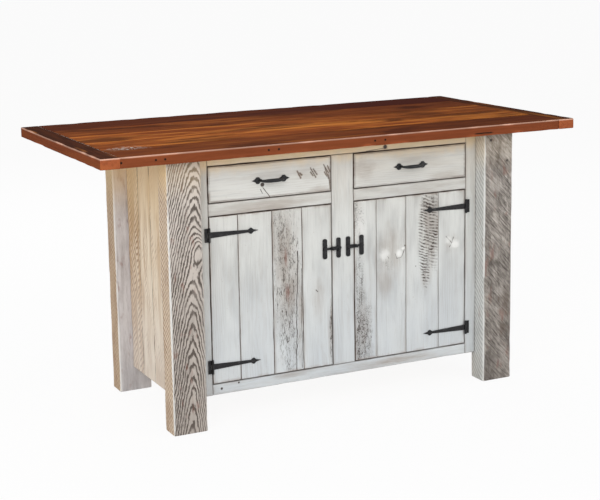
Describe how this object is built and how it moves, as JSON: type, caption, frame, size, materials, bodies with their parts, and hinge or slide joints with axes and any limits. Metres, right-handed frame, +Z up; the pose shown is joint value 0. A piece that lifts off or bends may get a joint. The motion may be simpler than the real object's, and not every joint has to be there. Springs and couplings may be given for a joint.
{
  "type": "kitchen island unit",
  "caption": "Kitchen island with a long plank worktop on square posts, inset drawers over ledged plank doors, forged strap hinges, bar latches and bow pulls.",
  "frame": {"origin": "on the floor, under the centre of the worktop", "axes": "+X along the front to the viewer's right, +Y from the front to the back, +Z up"},
  "size_m": [1.727, 0.864, 0.914],
  "materials": {
    "worktop": "red-brown stained planks under a satin varnish",
    "breadboard": "dark walnut-brown stained end boards under a satin varnish",
    "whitewash": "off-white distressed wash with brown glaze in the seams",
    "post": "rough-sawn timber, white wash rubbed into dark grain",
    "side_boards": "thin beige wash over warm saw-marked boards",
    "bare_wood": null,
    "iron": "hammered, black satin"
  },
  "bodies": {
    "carcass": {"worktop_plank_1": "worktop", "worktop_plank_2": "worktop", "worktop_plank_3": "worktop", "worktop_plank_4": "worktop", "worktop_plank_5": "worktop", "worktop_end_left": "breadboard", "worktop_end_right": "breadboard", "post_front_left": "post", "post_front_right": "post", "post_back_left": "post", "post_back_right": "post", "stile_left": "whitewash", "stile_centre": "whitewash", "stile_right": "whitewash", "rail_top": "whitewash", "rail_mid_left": "whitewash", "rail_mid_right": "whitewash", "rail_bottom": "whitewash", "side_panel_left": "side_boards", "side_panel_right": "side_boards", "back_panel": "whitewash", "cupboard_floor": "bare_wood", "cupboard_shelf": "bare_wood", "drawer_deck": "bare_wood", "hinge_left_lower_leaf": "iron", "hinge_left_upper_leaf": "iron", "latch_left_keeper": "iron", "hinge_right_lower_leaf": "iron", "hinge_right_upper_leaf": "iron", "latch_right_keeper": "iron"},
    "drawer_left": {"drawer_left_front": "whitewash", "drawer_left_side_inner": "bare_wood", "drawer_left_side_outer": "bare_wood", "drawer_left_back": "bare_wood", "drawer_left_bottom": "bare_wood", "drawer_left_pull": "iron"},
    "drawer_right": {"drawer_right_front": "whitewash", "drawer_right_side_inner": "bare_wood", "drawer_right_side_outer": "bare_wood", "drawer_right_back": "bare_wood", "drawer_right_bottom": "bare_wood", "drawer_right_pull": "iron"},
    "door_left": {"door_left_plank_1": "whitewash", "door_left_plank_2": "whitewash", "door_left_plank_3": "whitewash", "door_left_plank_4": "whitewash", "door_left_brace": "bare_wood", "hinge_left_lower_strap": "iron", "hinge_left_upper_strap": "iron", "latch_left_plate": "iron"},
    "latch_bar_left": {"latch_left_bar": "iron"},
    "door_right": {"door_right_plank_1": "whitewash", "door_right_plank_2": "whitewash", "door_right_plank_3": "whitewash", "door_right_plank_4": "whitewash", "door_right_brace": "bare_wood", "hinge_right_lower_strap": "iron", "hinge_right_upper_strap": "iron", "latch_right_plate": "iron"},
    "latch_bar_right": {"latch_right_bar": "iron"}
  },
  "joints": [
    {"name": "drawer_left_slide", "type": "slide", "parent": "carcass", "child": "drawer_left", "axis": [0, -1, 0], "range_m": [0, 0.35]},
    {"name": "drawer_right_slide", "type": "slide", "parent": "carcass", "child": "drawer_right", "axis": [0, -1, 0], "range_m": [0, 0.35]},
    {"name": "door_left_hinge", "type": "hinge", "parent": "carcass", "child": "door_left", "pos_m": [-0.482, -0.3393, 0.4085], "axis": [0, 0, -1], "range_deg": [0, 110]},
    {"name": "door_right_hinge", "type": "hinge", "parent": "carcass", "child": "door_right", "pos_m": [0.482, -0.3393, 0.4085], "axis": [0, 0, 1], "range_deg": [0, 110]},
    {"name": "latch_left_pivot", "type": "hinge", "parent": "door_left", "child": "latch_bar_left", "pos_m": [-0.069, -0.34, 0.534], "axis": [0, -1, 0], "range_deg": [0, 35]},
    {"name": "latch_right_pivot", "type": "hinge", "parent": "door_right", "child": "latch_bar_right", "pos_m": [0.069, -0.34, 0.534], "axis": [0, 1, 0], "range_deg": [0, 35]}
  ]
}
